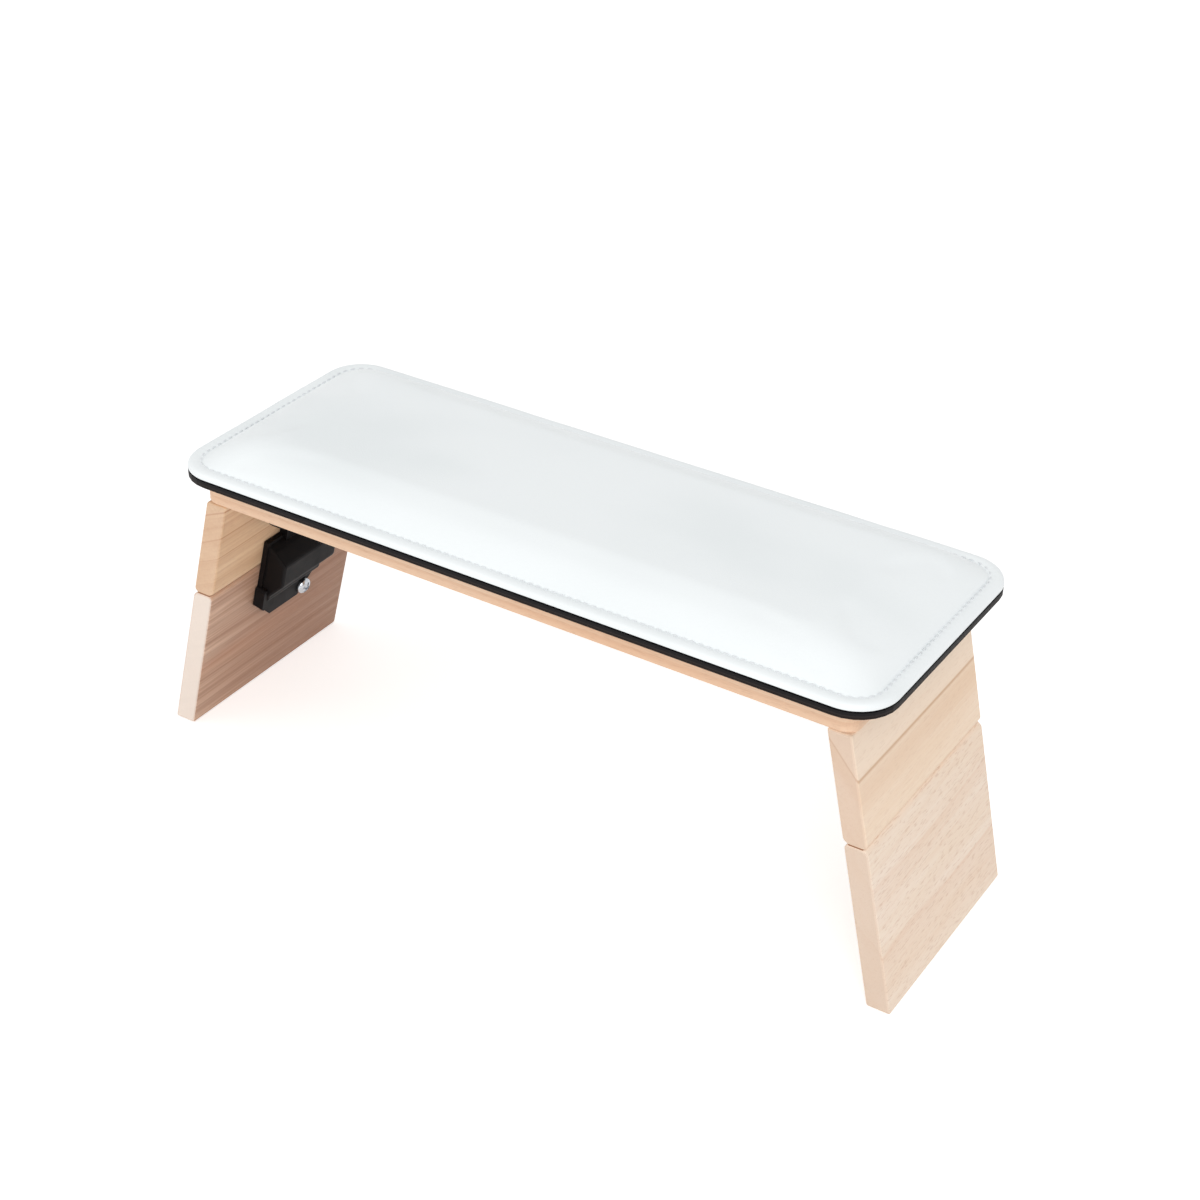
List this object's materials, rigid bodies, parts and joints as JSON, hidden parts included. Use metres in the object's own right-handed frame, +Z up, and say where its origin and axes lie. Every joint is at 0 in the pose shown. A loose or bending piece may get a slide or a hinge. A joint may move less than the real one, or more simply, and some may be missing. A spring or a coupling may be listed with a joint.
{
  "type": "manicure hand rest",
  "caption": "Padded hand rest for manicures: a cushioned wooden board on two splayed wooden legs that fold flat beneath it on brackets.",
  "frame": {"origin": "on the table top under the middle of the pad", "axes": "+X along the pad, -Y towards the person doing the work, +Z up"},
  "size_m": [0.3578, 0.1246, 0.151],
  "materials": {
    "white_leather": "soft satin, smooth coated leather",
    "foam": "open-cell foam, matt",
    "black_backing": "dense matt black sheet",
    "pale_wood": "sanded pale hardwood, thin satin lacquer",
    "leg_wood": "sanded pinkish hardwood with brown streaks, thin satin lacquer",
    "dowel_wood": "plain turned wood",
    "black_steel": "black coated steel, satin",
    "black_moulding": "black moulding, satin",
    "chrome": "bright plated",
    "dark_zinc": "dark plated"
  },
  "bodies": {
    "rest": {"pad_cover": "white_leather", "pad_foam": "foam", "pad_backing": "black_backing", "top_board": "pale_wood", "left_board_bracket": "black_steel", "left_board_screw_1": "dark_zinc", "left_board_screw_2": "dark_zinc", "left_board_screw_3": "dark_zinc", "left_board_screw_4": "dark_zinc", "left_hinge_pin": "black_steel", "left_hinge_spacer_front": "black_steel", "left_hinge_spacer_back": "black_steel", "right_board_bracket": "black_steel", "right_board_screw_1": "dark_zinc", "right_board_screw_2": "dark_zinc", "right_board_screw_3": "dark_zinc", "right_board_screw_4": "dark_zinc", "right_hinge_pin": "black_steel", "right_hinge_spacer_front": "black_steel", "right_hinge_spacer_back": "black_steel"},
    "left_leg": {"left_leg_upper_board": "leg_wood", "left_leg_lower_board": "leg_wood", "left_leg_dowel_front": "dowel_wood", "left_leg_dowel_back": "dowel_wood", "left_leg_bracket": "black_moulding", "left_leg_screw_front": "dark_zinc", "left_leg_screw_back": "dark_zinc", "left_leg_screw_lower": "chrome"},
    "right_leg": {"right_leg_upper_board": "leg_wood", "right_leg_lower_board": "leg_wood", "right_leg_dowel_front": "dowel_wood", "right_leg_dowel_back": "dowel_wood", "right_leg_bracket": "black_moulding", "right_leg_screw_front": "dark_zinc", "right_leg_screw_back": "dark_zinc", "right_leg_screw_lower": "chrome"}
  },
  "joints": [
    {"name": "left_leg_fold", "type": "hinge", "parent": "rest", "child": "left_leg", "pos_m": [-0.14087, 0, 0.101], "axis": [0, -1, 0], "range_deg": [0, 102]},
    {"name": "right_leg_fold", "type": "hinge", "parent": "rest", "child": "right_leg", "pos_m": [0.14087, 0, 0.101], "axis": [0, 1, 0], "range_deg": [0, 102]}
  ]
}
